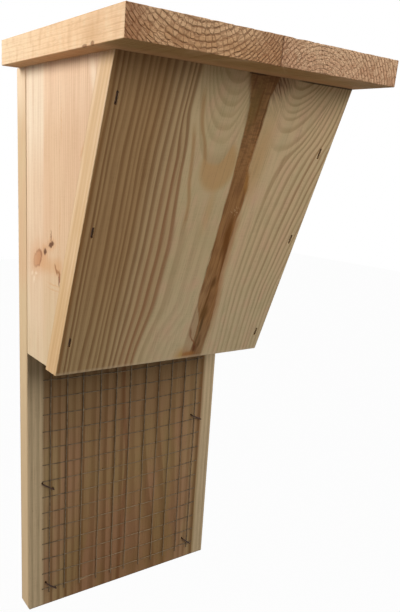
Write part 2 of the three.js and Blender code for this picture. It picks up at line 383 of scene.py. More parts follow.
# %% Board coordinates
def board_place(tree, corner, lean=0.0):
    """Across, into and up a board, from a corner that is given in metres. Lean is in degrees."""
    tip = Matrix.Rotation(math.radians(-lean), 3, "X")
    mapping = tree.nodes.new("ShaderNodeMapping")
    mapping.inputs["Scale"].default_value = (1 / MM,) * 3
    mapping.inputs["Rotation"].default_value = (math.radians(-lean), 0, 0)
    mapping.inputs["Location"].default_value = -(tip @ Vector(corner)) / MM
    plug(tree, tree.nodes.new("ShaderNodeTexCoord").outputs["Object"], mapping.inputs["Vector"])
    parts = tree.nodes.new("ShaderNodeSeparateXYZ")
    plug(tree, mapping.outputs[0], parts.inputs[0])
    return Field(tree, mapping.outputs[0]), *(Field(tree, socket) for socket in parts.outputs)


def facing(tree, direction):
    """1 on the faces that look along a direction or against it. Along the grain, these are the ends."""
    normal = tree.nodes.new("ShaderNodeTexCoord").outputs["Normal"]
    turned = put(tree, "VectorMath", {0: normal, 1: direction}, out="Value", operation="DOT_PRODUCT")
    return turned.math("ABSOLUTE").rise(0.5, 0.8)


def dress(shader, feeds, relief=None, depth=0.05):
    """Feeds a shader's sockets by name, and gives it a relief of depth millimetres."""
    tree = feeds["Base Color"].tree
    if relief:
        bump = {"Height": relief, "Distance": depth * MM, "Strength": 1.0}
        feeds["Normal"] = put(tree, "Bump", bump)
    for name, value in feeds.items():
        plug(tree, value, shader.inputs[name])


def finish_wood(shader, colour, relief, threads, smooth=0.62, rough=0.78, depth=0.12):
    roughness = threads.rise(0.2, 0.8, smooth, rough)
    feeds = {"Base Color": colour, "Roughness": roughness, "Specular IOR Level": 0.2}
    dress(shader, feeds, relief, depth)


THICKNESS = 14 * MM
PANEL_TOP, HALF_WIDTH = 189, 80.5
FRONT_LEAN = 20
BACK, back_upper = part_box("back_board")
print("back board from", *in_mm([BACK, back_upper]), "mm")

# %% [markdown]
# ## The front board's wood
# This board was sawn close to the tree's middle, so its marks are bold: broad brown bands on the
# left, a reddish-brown stripe of pith down the middle, and thin lines on the right that fan out
# towards the top, where branches grew. Under the roof the rings hang in loops like a cup.
# The ring borders were read off at four heights, and the count is blended between them, which
# bends the lines as they run down the board.

# %% Ring counts on the front board
front_wood, tree, shader = new_finish("front_wood")
FRONT_FOOT = (BACK.x, -59.7 * MM, 8.6 * MM)
FRONT_LENGTH = 187.15
place, across, into, up = board_place(tree, FRONT_FOOT, FRONT_LEAN)
down = FRONT_LENGTH - up
sway = swing(place, (26, 26, 60), 2.0, 1.0)
ripple = swing(place, (5, 5, 28), 5.0, 1.0)
x = across + sway * 0.9 + ripple * 0.7 + into * 0.6

# How far down the board, then the borders there, both in millimetres.
RINGS_AT = {
    14: [2.8, 5.8, 8.9, 12.2, 16.4, 20.5, 23.6, 26, 30.1, 34.5, 39.3, 43.8, 46.6, 49.1, 57, 61.5, 65.5],
    50: [2.2, 5.8, 8.1, 11.1, 15.5, 19.9, 23.1, 25.4, 29.6, 34.2, 39.1, 44.1, 49, 53.2, 58.9, 68.9, 80],
    110: [1.1, 5.5, 8.2, 11.4, 16.9, 22, 25.6, 27.9, 31.6, 36.6, 41.1, 46.2, 51.8, 58.1, 66.1, 77.1, 84],
    180: [1.8, 5.6, 8.2, 11.5, 15.4, 21.1, 25.3, 28.1, 32.4, 36.8, 40.2, 44.2, 48.9, 53.2, 58.8, 65.2, 70.8],
}
BLEND_HEIGHTS = [(20, 50), (40, 106), (138, 185)]
RING_STRENGTH = [
    0.7, 0.7, 0.55, 0.38, 0.62, 0.58, 0.42, 0.6, 0.62, 0.62, 0.65, 0.6, 0.69, 0.57, 0.25, 0.14, 0.11]


def count_up(field, borders, end, start=0, span=200):
    """A count that is 1 at the first border, 2 at the second and so on, with an end point."""
    points = [(0, start)] + [(at, i + 1) for i, at in enumerate(borders)] + [end]
    return field.follow(points, span)


def count_bands(field, borders):
    end = (200, len(borders) + (200 - borders[-1]) / 5)
    return count_up(field, borders, end, start=1 - borders[0] / 4)


counts = [count_bands(x + 0.7, borders) for borders in RINGS_AT.values()]
left_count = counts[0]
for upper, lower, heights in zip(counts, counts[1:], BLEND_HEIGHTS):
    left_count = left_count + (lower - upper) * down.rise(*heights)
bands = use_group(RINGS, 0 - left_count, 0.65, 1.0)
strengths = [(i + 1.0, strength) for i, strength in enumerate(RING_STRENGTH)]
band_strength = (left_count - 0.2).follow([(0, 0.5)] + strengths + [(40, 0)], span=40, reach=1)
band_zone = left_count.rise(14.4, 14.2).math("MAXIMUM", down.rise(78, 94) * x.rise(90, 84))
print(len(RING_STRENGTH), "ring borders left of the stripe")

# %% [markdown]
# In a cup, a point's count depends on how far below the cup's top it is and how far to its side.
# Right of the last cup the borders run down the board, closer together towards the top. Between
# `first_line` and the last cup the count stands still, and left of it a patch of wood is plain.

# %% Cups and fanning lines
LEFT_CUP, RIGHT_CUP = 75, 118.5
aside = x - LEFT_CUP
left_limb = aside.math("MINIMUM", 0.0).math("ABSOLUTE").math("POWER", 2.6) * 0.012
right_limb = aside.math("MAXIMUM", 0.0).math("POWER", 2.45) * 0.06
left_hang = down + left_limb + right_limb + ripple * 2.0
left_cups = count_up(left_hang, [6, 12, 18, 24, 31, 38, 50, 62], end=(200, 12))
left_loops = use_group(RINGS, left_cups, 0.6, 4.0)
left_cup_zone = left_count.rise(14.2, 14.5) * left_hang.rise(60, 48) * x.rise(88, 85)

beside = x - RIGHT_CUP
limb = beside * beside * beside.rise(-1, 1, 0.07, 0.041)
right_hang = down + limb + ripple * 1.5
inner = count_up(right_hang, [5, 10, 14, 18, 22, 29, 40, 47], end=(200, 12))
last_cup = down.follow([
    (0, 149), (8, 147), (20, 143), (28, 139.6), (35, 135.8), (42, 130.3), (50, 126.2), (60, 123.5),
    (75, 121.3), (90, 119.9), (130, 119.5), (150, 121.2), (187, 124.7)], reach=200)
spacing = down.follow([
    (0, 1.9), (8, 2.5), (20, 3.3), (35, 4.1), (50, 5.2), (70, 5.3), (110, 4.8), (150, 4.15),
    (187, 3.95)], reach=10)
first_line = last_cup - down.rise(24, 42) * down.rise(90, 55) * 1.7
steps_right = ((x - last_cup) / spacing).math("MAXIMUM", 0.0)
steps_out = steps_right + ((x - first_line) / spacing).math("MINIMUM", 0.0) + 2
borders_out = [1.1, 2, 2.9, 4, 5.25, 6.3, 7.3, 8.1, 8.9]
outer = 6 + count_up(steps_out, borders_out, end=(22, 25), span=22)
outside = ((x - first_line) / 1.5).rise(-0.5, 0.5).math("MAXIMUM", down.rise(42, 50))
right_count = inner + (outer - inner) * outside
lines = use_group(RINGS, right_count, 0.5, 9.0)
print("cups hang at", LEFT_CUP, "and", RIGHT_CUP, "mm from the left edge")

# %% [markdown]
# The pith stripe's two edges are drawn as curves down the board. Inside, the wood is fibrous along
# the grain, and rippled across it near the top. There the branches met the trunk, and fine hairs of
# wood fan out to the right.

# %% The pith stripe
fray = swing(place, (1.0, 1.0, 9), 11.0, 3.0) * 2.6
frayed = across + into * 0.3 + fray
left_edge = down.follow([
    (0, 82), (8, 85), (15, 87), (30, 88.5), (50, 90), (75, 90.8), (115, 92), (142, 93.2), (150, 96),
    (157, 98.4), (187, 99.3)], reach=200)
right_edge = down.follow([
    (0, 103), (6, 101.8), (12, 100.7), (52, 100.8), (60, 103.6), (76, 105), (86, 104), (110, 104.8),
    (125, 105.6), (137, 107.8), (150, 109.3), (187, 110.5)], reach=200)
stripe = (frayed - left_edge).rise(-0.5 - down.rise(20, 5) * 3, 0.7) * (right_edge - frayed).rise(-0.7, 1.1)
past_edge = frayed - right_edge
beside_stripe = past_edge.rise(5.0, 0.5) * past_edge.rise(-1.5, 0.5)
beside_stripe = beside_stripe * down.rise(76, 88) * down.rise(187, 130, 0.3, 1)
streaks = blobs(place, (1.1, 1.1, 22), 12.0, 3.0)
cross_ripple = blobs(place, (5, 5, 1.5), 13.0).rise(0.45, 0.62) * down.rise(80, 30)
mottle = blobs(place, (3, 3, 13), 16.0, 3.0).rise(0.44, 0.62)

FAN_TURN = math.radians(50)
fan_across = across * math.sin(FAN_TURN) - down * math.cos(FAN_TURN)
fan_along = across * math.cos(FAN_TURN) + down * math.sin(FAN_TURN)
fan_place = put(tree, "CombineXYZ", {"X": fan_across, "Y": into, "Z": fan_along})
hairs = blobs(fan_place, (1.0, 1.0, 12), 14.0).rise(0.42, 0.62)
fan_zone = oval(across, down, (103, 1), (9, 8), soft=0.7)
far_hairs = oval(across, down, (106, 9), (8, 10), 30, 0.8)
print("stripe drawn from edge to edge of the board")

# %% [markdown]
# Dark resin marks are soft ovals: a strong core half-way down and thinner ones below it. Each has
# its middle in mm from the board's left top corner, its half size, slant, shade and strength.

# %% Resin marks
RESIN_MARKS = [
    ((91.3, 17), (4.5, 11), 0, (122, 96, 48), 0.6), ((94, 17), (0.8, 9), 0, (112, 62, 26), 0.6),
    ((99.4, 23), (0.6, 11), 0, (92, 60, 28), 0.7), ((102.5, 60), (1.6, 7), -12, (178, 126, 64), 0.7),
    ((100.6, 95), (2.5, 13), -4, (112, 64, 10), 0.85), ((103.3, 112), (0.7, 15), -4, (106, 60, 20), 0.7),
    ((99.8, 112), (0.5, 9), -4, (112, 68, 28), 0.6), ((92.4, 108), (0.5, 14), 0, (120, 84, 44), 0.5),
    ((101.2, 127.5), (1.6, 4), 0, (98, 60, 20), 0.8), ((100.2, 138), (0.8, 9), 0, (104, 62, 20), 0.8),
    ((101, 151), (2.6, 6), 0, (106, 70, 26), 0.85), ((101.8, 160), (1.1, 6), 0, (84, 58, 26), 0.8),
    ((102, 169), (0.8, 7), 0, (98, 70, 36), 0.7), ((104.9, 175.5), (0.6, 3.5), 0, (98, 70, 36), 0.7),
    ((101.8, 179), (1.5, 5), -10, (104, 56, 26), 0.9), ((93.6, 150), (0.5, 12), 0, (150, 118, 84), 0.6),
    ((95, 166), (0.9, 4), -15, (146, 98, 60), 0.7), ((98.6, 172.5), (0.5, 5), -38, (150, 94, 54), 0.8),
    ((98, 184), (5.5, 2.4), 0, (172, 114, 58), 0.85), ((91.8, 184), (1.4, 3.5), 0, (206, 168, 104), 0.8),
]
print(len(RESIN_MARKS), "resin marks")

# %% [markdown]
# Now the colours. Pale wood first, then the bands, loops and lines darken it. The shades are the
# wood's own, in plain light, and the lamps do the rest.

# %% Ground, bands and lines of the front board
fibre = use_group(FIBRES, place, 1.0)
blotches = swing(place, (9, 9, 16), 18.0, 1.0)
ground = coat(
    (181, 144, 99),
    (down.rise(95, 185), (188, 156, 111)),
    (x.rise(28, 42), (200, 168, 124)),
    (left_count.rise(14.1, 14.5), (214, 188, 144)),
    (x.rise(92, 110), (223, 194, 150)),
    (x.rise(55, 80) * down.rise(90, 165), (220, 196, 154)),
    (blotches * x.rise(52, 62) * 2.1, (226, 182, 148)),
    ((0 - blotches) * x.rise(52, 62) * 1.8, (200, 184, 138)))
late = bands["Late wood"] * band_zone * band_strength
late_shade = blend(down.rise(30, 60) * x.rise(38, 48), (122, 81, 43), (142, 88, 52))
loops = left_loops["Late wood"] * left_cup_zone * (0.14 + left_loops["Ring tone"] * 0.2)
beyond_stripe = (across - right_edge).rise(0, 3)
plain_patch = (first_line - x).rise(2.0, 4.0) * down.rise(36, 44) * down.rise(88, 72)
near_cups = x.rise(106, 122, 0.0, 0.6) * down.rise(120, 165, 1.0, 0.75)
line_strength = near_cups + x.rise(122, 145, 0.0, 0.22) * down.rise(110, 60)
line_strength = line_strength * (0.65 + lines["Ring tone"] * 0.35) * (1 - plain_patch)
colour = coat(
    ground,
    (late, late_shade),
    (loops, (150, 110, 64)),
    (lines["Late wood"] * beyond_stripe * line_strength, (164, 126, 84)))
print("front_wood has", len(tree.nodes), "nodes so far")

# %% [markdown]
# Resin coloured some wood amber: a cup round the loops on the left, two thin limbs that run on down
# the board, and soft patches beside the stripe and at the foot.

# %% Amber wood
amber_cup = left_hang.rise(48.5, 52) * oval(across, down, (78, 51), (12, 15), soft=0.2)
upper_limb = down.follow([
    (0, 53.5), (14, 55.5), (20, 56.8), (26, 58.3), (32, 60.6), (38, 64), (44, 66.3), (50, 68),
    (60, 70)], reach=100)
lower_limb = down.follow([
    (20, 53), (32, 55), (38, 56.6), (44, 57.9), (56, 60.1), (62, 61.2), (68, 62.9), (74, 64.4),
    (90, 65.3), (100, 66)], reach=100)
upper_zone = down.rise(8, 18) * down.rise(54, 46)
lower_zone = down.rise(26, 38) * down.rise(94, 80)
for limb_line, zone in ((upper_limb, upper_zone), (lower_limb, lower_zone)):
    colour = coat(colour, (x.near(limb_line, 1.9, 0.3) * zone * 0.6, (178, 130, 76)))
amber_streak = oval(across, down, (80, 78), (2.5, 13), soft=0.8) * 0.5
amber_right = oval(across, down, (105, 46), (6.5, 24), soft=0.8) * 0.8
amber_foot = oval(across, down, (93, 186), (6, 8), soft=0.7)
for patch in (amber_cup, amber_streak, amber_right, amber_foot):
    colour = coat(colour, (patch * 0.8, (204, 160, 106)))
left_of_core = across.rise(92, 93.2) * across.rise(101, 98)
left_of_core = left_of_core * down.rise(138, 150) * down.rise(187, 155, 0.45, 0.6)
colour = coat(colour, (beside_stripe * 0.8, (188, 138, 94)), (left_of_core, (172, 134, 98)))
print("amber in two limbs and four patches")

# %% [markdown]
# The stripe is painted by itself and then laid over the rest, with the resin marks on top. Last
# come the darker left edge, a painted highlight along the foot's arris, and a painted shadow line
# under the roof, where the real joint stands open.

# %% Colours of the stripe
rim = (right_edge - frayed).rise(4.5, 1) * down.rise(14, 30) * down.rise(150, 130)
fleck_zone = oval(across, down, (100, 78.5), (4.5, 3.5))
flecks = blobs(fan_place, (0.7, 0.7, 2.4), 15.0).rise(0.55, 0.64) * fleck_zone
pith = coat(
    (162, 117, 70),
    (down.rise(20, 60), (168, 119, 70)),
    (down.rise(150, 172), (166, 126, 84)),
    (frayed.rise(100, 98) * down.rise(112, 135) * 0.5, (196, 154, 106)),
    (rim * 0.4, (172, 112, 60)),
    (streaks.rise(0.35, 0.62) * 0.45 + mottle * 0.3, (116, 72, 36)),
    (cross_ripple * 0.6, (110, 72, 38)),
    (flecks * 0.7, (206, 168, 122)))
colour = coat(
    colour,
    (fan_zone * 0.45, (140, 102, 66)),
    (hairs * (fan_zone * 0.75 + far_hairs * 0.25), (104, 58, 30)),
    (stripe * 0.96, pith))
for middle, half, slant, shade, strength in RESIN_MARKS:
    colour = coat(colour, (oval(frayed, down, middle, half, slant, 0.6) * strength, shade))
# A dark line of painted shadow along the board's top, under the roof, where the real joint stands open.
painted_gap_shadow = x.rise(112, 126) + oval(across, down, (87, 0), (6, 3))
# The pale line along the foot is a painted highlight on the bottom arris.
colour = coat(
    colour,
    (x.rise(4, 0.5) * 0.4, (150, 102, 50)),
    (down.rise(184.2, 186.2) * 0.35, (226, 200, 164)),
    (down.rise(1.1, 0.5) * painted_gap_shadow * 0.8, (54, 36, 20)))
print("front_wood has", len(tree.nodes), "nodes so far")

# %% [markdown]
# The board's left and right edges were sawn through the same wood, but show only fine, pale lines
# along the grain. A mask picks the faces that look sideways.

# %% Fibres, edges and ends of the front board
edge_lines = use_group(FIBRES, place, 5.0)
depth = into + sway * 1.6 + ripple * 0.6
edge_bands = depth.follow([
    (0, 0.4), (1, 0.1), (2.3, 0.75), (4, 0), (6, 0.6), (7.6, 0.3), (9.2, 0.7), (10.8, 0.45),
    (12.6, 0), (14, 0.4)], span=14, reach=1)
edge_wood = coat(
    (232, 200, 162),
    (edge_lines["Clouds"].rise(0.35, 0.65), (222, 188, 144)),
    (down.rise(60, 175) * 0.8, (211, 174, 126)),
    (edge_bands * 0.45, (190, 140, 84)),
    ((edge_lines["Threads"] - 0.5) * 1.3, (160, 118, 72)))
lean = math.radians(FRONT_LEAN)
colour = coat(
    colour,
    (fine_marks(fibre, x.rise(20, 45, 1.9, 1.2), 0.35), (110, 76, 44)),
    (fibre["Ducts"] * 0.2, (118, 80, 48)),
    (facing(tree, (1, 0, 0)), edge_wood),
    (facing(tree, (0, -math.sin(lean), math.cos(lean))) * 0.45, (150, 110, 72)))
relief = fibre["Threads"] - late * 0.3 - fibre["Ducts"] * 0.5
finish_wood(shader, colour, relief, fibre["Threads"])
print("front_wood has", len(tree.nodes), "nodes")

# %% [markdown]
# ## The back board's wood
# This board is brown heartwood with a strip of pale sapwood along each edge. The ring borders were
# read off just below the box and at the foot, and are blended in between, so the middle ones slant.

# %% Back board
back_wood, tree, shader = new_finish("back_wood")
place, across, into, up = board_place(tree, (BACK.x, -THICKNESS, BACK.z))
sway = swing(place, (30, 30, 120), 21.0, 1.0)
ripple = swing(place, (5, 5, 45), 24.0, 1.0)
x = across + sway * 1.2 + ripple * 0.7 + into * 0.5
LEFT_BORDERS, RIGHT_BORDERS = [3.3, 8.3, 12.8, 18.5, 24.5, 30.5, 36.2], [149, 155.5, 159]
MIDDLE_TOP = [43.5, 52.3, 62, 69, 76.4, 86, 95, 108, 123, 131, 140.2]
MIDDLE_FOOT = [43.0, 52.6, 63.5, 70, 76.4, 92, 109.5, 120, 131, 136, 141.0]
top_count, foot_count = (
    count_bands(x, LEFT_BORDERS + middle + RIGHT_BORDERS) for middle in (MIDDLE_TOP, MIDDLE_FOOT))
rings = top_count + (foot_count - top_count) * up.rise(155, 0)
bands = use_group(RINGS, rings, 0.55, 31.0)
fibre = use_group(FIBRES, place, 3.0)
heart = x.rise(9.5, 13.5) * x.rise(153, 149)
# Darker towards the foot, and darker again just below the box, where the darkening is painted shade from the
# box above.
heartwood_and_shade = coat(
    (170, 135, 92),
    (up.rise(110, 20), (156, 119, 76)),
    (x.rise(45, 18).math("MAXIMUM", x.rise(122, 140)), (183, 151, 107)),
    (fibre["Clouds"].rise(0.4, 0.6) * 0.55, (174, 126, 96)),
    (fibre["Clouds"].rise(0.46, 0.32) * 0.4, (156, 130, 84)),
    (up.rise(100, 190), (150, 118, 80)))
strength = bands["Late wood"] * (0.3 + bands["Ring tone"] * 0.7) * (0.3 + heart * 0.5)
leaning_line = up.follow([
    (0, 75.8), (35, 77), (85, 79.5), (105, 80.6), (150, 76.5), (200, 75)], reach=200)
colour = coat(
    (216, 190, 150),
    (heart, heartwood_and_shade),
    (strength, (116, 80, 42)),
    (x.near(leaning_line, 2.4, 0.6) * 0.5, (124, 76, 42)),
    (fine_marks(fibre, 1.5, 0.3), (104, 72, 42)),
    (fibre["Ducts"] * 0.3, (106, 72, 42)))
print(len(MIDDLE_TOP), "ring borders in the middle part")

# %% [markdown]
# Small marks from use: a pale scratch and two pin holes near the foot. The board's edges are paler
# than its face, with pinkish lines, and its ends are darker. The edges are painted lighter at the
# top and darker lower down, as painted light falloff, and a thin dark line of painted shade runs
# along the bottom arris.

# %% Marks, edges and ends of the back board
on_face = into.rise(1.0, 0.2)
scratch = oval(across, up, (45.5, 12), (4.5, 0.6), 8, 0.5)
colour = coat(colour, (scratch * on_face * 0.7, (206, 172, 128)))
for pin in ((57, 102), (59.5, 102.5)):
    colour = coat(colour, (oval(across, up, pin, (0.5, 0.5)) * on_face * 0.8, (60, 40, 24)))
sheared = put(tree, "CombineXYZ", {"X": across, "Y": into + up * 0.012, "Z": up})
edge_lines = use_group(FIBRES, sheared, 6.0)
near_arris = (into - 7).math("ABSOLUTE").rise(4.2, 7) * up.rise(260, 170)
# Lighter at the top and darker lower down: painted light falloff on the edges.
edge_wood = coat(
    (212, 184, 144),
    (up.rise(335, 370), (236, 210, 176)),
    (up.rise(210, 140), (205, 177, 138)),
    (edge_lines["Clouds"].rise(0.4, 0.62) * up.rise(180, 260) * 0.5, (214, 170, 132)),
    ((edge_lines["Threads"] - 0.5) * 1.1, (170, 120, 78)),
    (near_arris * 0.5, (150, 120, 84)))
# A thin dark line along the bottom arris is painted shade.
colour = coat(
    colour,
    (up.rise(1.3, 0.4) * 0.5, (86, 58, 34)),
    (facing(tree, (1, 0, 0)), edge_wood),
    (facing(tree, (0, 0, 1)) * 0.45, (150, 110, 72)))
relief = fibre["Threads"] - bands["Late wood"] * 0.3 - fibre["Ducts"] * 0.5
finish_wood(shader, colour, relief, fibre["Threads"])
print("back_wood has", len(tree.nodes), "nodes")

# %% [markdown]
# ## The side panels' wood
# The panels are the palest boards, pinkish, with very fine straight lines. The left one has a row
# of knots: one large and pale with a thin brown rim, two little dark ones, and some dark scars. The
# right one is cut from another place. `MARKS` gives each plain mark's shade, strength and softness.

# %% Knots and other marks
KNOTS = ("pale", "dark")
MARKS = {
    "dark": ((88, 48, 20), 0.92, 0.35), "flush": ((208, 154, 104), 0.5, 0.8),
    "scar": ((120, 66, 30), 0.85, 0.3), "fleck": ((246, 226, 198), 0.5, 0.8),
}


def lay_marks(colour, marks, forward, below, ragged):
    """Each mark is (kind, mm from the back, mm from the top, half length, half width, slant)."""
    for kind, at, low, long, wide, slant in marks:
        spot, half = (forward + ragged, below + ragged, (at, low)), (long, wide)
        if kind in KNOTS:
            halo = oval(*spot, (long * 1.5, wide * 2.1), slant, 0.8)
            colour = coat(colour, (halo * 0.5, (208, 148, 98)))
        if kind == "pale":
            distance = oval(*spot, half, slant, result="Distance")
            thin_rim = distance.rise(0.68, 0.95) * distance.rise(1.25, 1.0)
            to_front = forward.rise(at - long, at + long)
            colour = coat(
                colour,
                (oval(*spot, half, slant, 0.35) * (0.5 + to_front * 0.4), (190, 134, 92)),
                (thin_rim * (0.2 + to_front * 0.5), (146, 92, 58)))
        else:
            shade, strength, soft = MARKS[kind]
            colour = coat(colour, (oval(*spot, half, slant, soft) * strength, shade))
    return colour


print("kinds of mark:", ", ".join(("pale", *MARKS)))

# %% [markdown]
# A panel's rings are evenly spaced and counted from the back board towards the front. Near a knot
# the count is pushed on a little, so that the lines swerve round it.

# %% Side panels
RING_WIDTH = 2.3


def side_finish(name, marks, seed):
    material, tree, shader = new_finish(name)
    place, out_of, reach, rise_up = board_place(tree, (0, -THICKNESS, PANEL_TOP * MM))
    forward, below = 0 - reach, 0 - rise_up
    sway = swing(place, (20, 20, 90), seed, 1.0)
    ripple = swing(place, (3.5, 3.5, 40), seed + 2, 1.0)
    x = forward + sway * 2.4 + ripple * 0.9 + (HALF_WIDTH - out_of.math("ABSOLUTE")) * 0.35
    for kind, at, low, long, wide, slant in marks:
        if kind in KNOTS:
            round_it = (long * 1.8, wide * 2.6)
            x = x + oval(forward, below, (at, low), round_it, slant, 0.9) * 1.2
    rings = use_group(RINGS, x / RING_WIDTH, 0.6, seed)
    fibre = use_group(FIBRES, place, seed)
    # The pale zone near the back is paler wood, strongest at the top, where it is also painted light.
    pale = x.rise(30, 25) * x.rise(0, 7, 0.5, 1.0) * below.rise(25, 72, 1.0, 0.45)
    pale = pale * below.rise(145, 170, 1.0, 0.5)
    broad = blobs(place, (5, 5, 160), seed + 1)
    # Lighter at the top and darker lower down: painted light falloff over the panel.
    colour = coat(
        (226, 191, 154),
        (below.rise(80, 160), (218, 193, 155)),
        (below.rise(45, 15), (238, 206, 172)),
        (pale, (242, 221, 192)),
        (fibre["Clouds"].rise(0.4, 0.65) * 0.45 * (1 - pale), (222, 182, 148)),
        (rings["Late wood"] * (0.08 + rings["Ring tone"] * 0.2), (188, 140, 100)),
        (broad.rise(0.45, 0.7) * 0.3, (206, 164, 126)),
        (fine_marks(fibre, 1.2, 0.3), (172, 126, 86)),
        (fibre["Ducts"] * 0.2, (178, 130, 90)))
    ragged = swing(place, (2.4, 2.4, 2.4), seed + 5, 3.0) * 3.0
    colour = lay_marks(colour, marks, forward, below, ragged)
    colour = coat(colour, (facing(tree, (0, 0, 1)) * 0.4, (176, 134, 92)))
    relief = fibre["Threads"] - rings["Late wood"] * 0.2
    finish_wood(shader, colour, relief, fibre["Threads"], rough=0.76)
    print(name, "has", len(tree.nodes), "nodes and", len(marks), "marks")
    return material


left_side_wood = side_finish("left_side_wood", [
    ("flush", 33, 114, 14, 4.5, 0),
    ("pale", 18.5, 112, 7.2, 4.1, -38),
    ("dark", 30, 106.5, 2.2, 1.9, 0),
    ("dark", 39, 101.2, 3.7, 1.6, -18),
    ("scar", 38.6, 96.5, 0.6, 3.4, 4),
    ("scar", 46, 115, 0.9, 3.4, -30),
    ("scar", 50.6, 119.5, 1.1, 4.6, 4),
    ("scar", 48.5, 116, 2.8, 0.8, 14),
    ("flush", 49, 113, 5.5, 5, 0),
    ("flush", 77.5, 49, 0.9, 4.0, 26),
    ("flush", 51, 92, 0.4, 16, 0),
    ("flush", 52, 34, 0.35, 10, 0),
    ("flush", 43, 124.5, 7, 0.4, 0),
    ("flush", 43, 127.5, 8, 0.35, 0),
    ("fleck", 89, 14, 2.6, 11, -18),
    ("fleck", 9.5, 122, 1.6, 1.0, -30),
    ("fleck", 13, 125.5, 1.0, 2.2, 20),
    ("fleck", 16, 121.5, 1.8, 0.8, -20),
], 41.0)
right_side_wood = side_finish("right_side_wood", [
    ("pale", 33, 61, 5.0, 3.6, 20),
    ("dark", 34.5, 61, 1.6, 1.2, 20),
    ("dark", 16, 142, 2.2, 1.8, 0),
    ("flush", 20, 142, 12, 4, 0),
], 57.0)

# %% [markdown]
# ## The roof boards' wood
# The grain runs from back to front, so the roof's front edge is end grain. There the rings are
# circles round the tree's middle, which lies above the left board and below the right one. Being
# found as the distance from that middle, they show as straight lines on the long faces, as they do
# in a real board. This cell paints those faces, with two small torn spots at the lower left edge.

# %% Long faces of the roof boards
ROOF_PITCH = 2.1
ROOF_LOW, roof_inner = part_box("roof_board_left")
RIGHT_ROOF_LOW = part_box("roof_board_right")[0]
ROOF_GAP = RIGHT_ROOF_LOW.x - roof_inner.x
JOINT = (RIGHT_ROOF_LOW.x - ROOF_LOW.x) / MM
BASE, WARM, CREAMY = (243, 205, 162), (234, 192, 150), (240, 212, 174)
LINE, THREAD, TORN = (206, 158, 110), (180, 132, 88), (128, 80, 44)


def long_faces(place, across, back, up, fibre, rings, seed):
    bands = blobs(place, (12, 12, 5), seed + 8, 1.0)
    threads = (fibre["Threads"] - 0.5) * 0.9 + swing(place, (0.7, 0.7, 4), seed + 7, 3.0) * 0.9
    on_left = across.rise(1.0, 0.2)
    colour = coat(
        BASE,
        (fibre["Clouds"].rise(0.35, 0.65) * 0.5, WARM),
        (back.rise(60, 130) * 0.7, CREAMY),
        (back.rise(12, 2) * 0.4, WARM),
        (bands.rise(0.45, 0.75) * 0.5, CREAMY),
        (bands.rise(0.55, 0.25) * 0.3, LINE),
        (rings["Late wood"] * (0.1 + rings["Ring tone"] * 0.25), LINE),
        (threads, THREAD),
        (oval(back, up, (29, -9), (9, 6), soft=0.9) * on_left * 0.45, LINE))
    for middle, half in (((28.5, -13.2), (1.7, 1.1)), ((36.3, -13.5), (2.4, 0.7))):
        colour = coat(colour, (oval(back, up, middle, half) * on_left * 0.75, TORN))
    # Painted shade on the underside, darkest towards the front, under the overhang.
    painted_underside_shade = blend(back.rise(26, 12), (214, 196, 176), (186, 174, 142))
    return blend(up.rise(-13.5, -13.9), colour, painted_underside_shade, "MULTIPLY")


print("the two roof boards meet", round(JOINT, 1), "mm from the roof's left edge")

# %% [markdown]
# The end grain has the sawn cells, with rings and checks over them. On part of the right board the
# saw broke the grain, and there the blotches are stronger and the rings weaker.

# %% Roof boards
def roof_finish(name, pith, spacings, shades, broken_from, broken_to, seed):
    """A roof board. Pith is where the tree's middle lies, in mm from the roof's left top front edge."""
    material, tree, shader = new_finish(name)
    left_top_front = (ROOF_LOW.x, ROOF_LOW.y, ROOF_LOW.z + THICKNESS)
    _, across, back, up = board_place(tree, left_top_front, ROOF_PITCH)
    place = put(tree, "CombineXYZ", {"X": across, "Y": up, "Z": back})
    ripple = swing(place, (3, 3, 22), seed + 1)
    sway = swing(place, (14, 14, 160), seed + 4, 1.0)
    dx, dy = across - pith[0] + sway * 1.2, up - pith[1] + sway * 1.0
    radius = (dx * dx + dy * dy).math("SQRT") + ripple * 0.9
    count = radius.follow(spacings, span=120, reach=60)
    rings = use_group(RINGS, count, 0.4, seed)
    fibre = use_group(FIBRES, place, seed)
    sawn = use_group(SAWN, count, dy.math("ARCTAN2", dx) * 13.0, seed)
    pale_cell, brown_cell, border = shades
    blotch = blobs(place, (1.9, 0.75, 6), seed + 9)
    broken = across.rise(*broken_from) * across.rise(*broken_to)
    ring_lines = rings["Late wood"] * blotch.rise(0.3, 0.6, 0.3, 0.75)
    burnt = across.rise(16, 3) * 0.5 + across.rise(66, 80) * across.rise(94, 86) * 0.35
    end_grain = coat(
        pale_cell,
        (sawn["Cell tone"], brown_cell),
        (up.rise(-9, -2) * 0.4, (242, 204, 162)),
        (blotch.rise(0.5, 0.66) * (0.3 + broken * 0.5), border),
        (ring_lines * (0.66 - broken * 0.56), border),
        (sawn["Checks"] * (0.4 - broken * 0.28), border),
        (burnt, (150, 88, 48)),
        (across.near(JOINT, 0.9, 0.3) * 0.6, (92, 54, 28)))
    pitch = math.radians(ROOF_PITCH)
    end = facing(tree, (0, math.cos(pitch), math.sin(pitch)))
    colour = blend(end, long_faces(place, across, back, up, fibre, rings, seed), end_grain)
    rough_end = (sawn["Cell tone"] - sawn["Checks"] - rings["Late wood"] + blotch) * 1.2
    relief = fibre["Threads"] - rings["Late wood"] * 0.3 + (rough_end - fibre["Threads"]) * end
    finish_wood(shader, colour, relief, fibre["Threads"], 0.66, 0.82, 0.2)
    print(name, "has", len(tree.nodes), "nodes")
    return material


